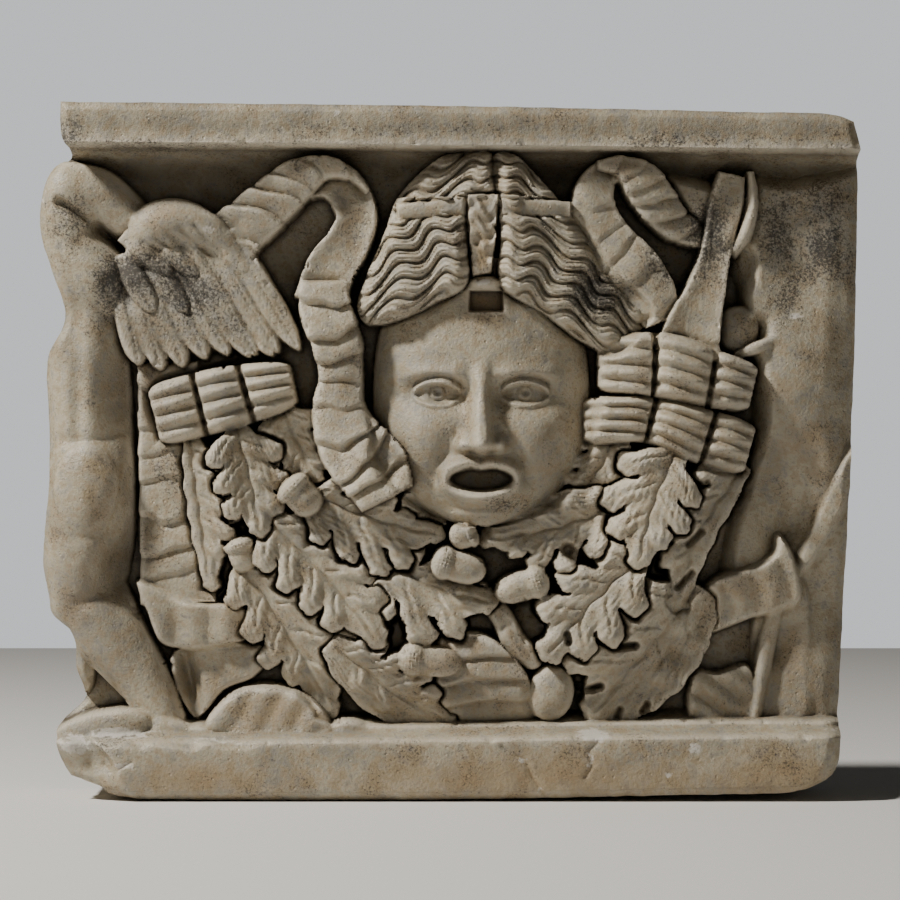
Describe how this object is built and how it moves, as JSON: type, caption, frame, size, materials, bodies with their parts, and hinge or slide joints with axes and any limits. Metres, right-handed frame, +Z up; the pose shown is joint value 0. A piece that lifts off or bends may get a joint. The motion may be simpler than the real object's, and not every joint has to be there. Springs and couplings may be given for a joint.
{
  "type": "marble relief slab",
  "caption": "Broken marble relief: a garland of oak leaves and acorns on ribbons, an open-mouthed stage mask above it, and remains of two figures.",
  "frame": {"origin": "middle of the flat back face, where the slab meets the wall", "axes": "+Z up, +X to the right as one faces the carving, and the carved front faces -Y"},
  "size_m": [0.577, 0.1333, 0.487],
  "materials": {
    "marble": "worn, matt, with brown and dark grey weathering"
  },
  "bodies": {
    "root": {"relief_slab": "marble"}
  },
  "joints": []
}
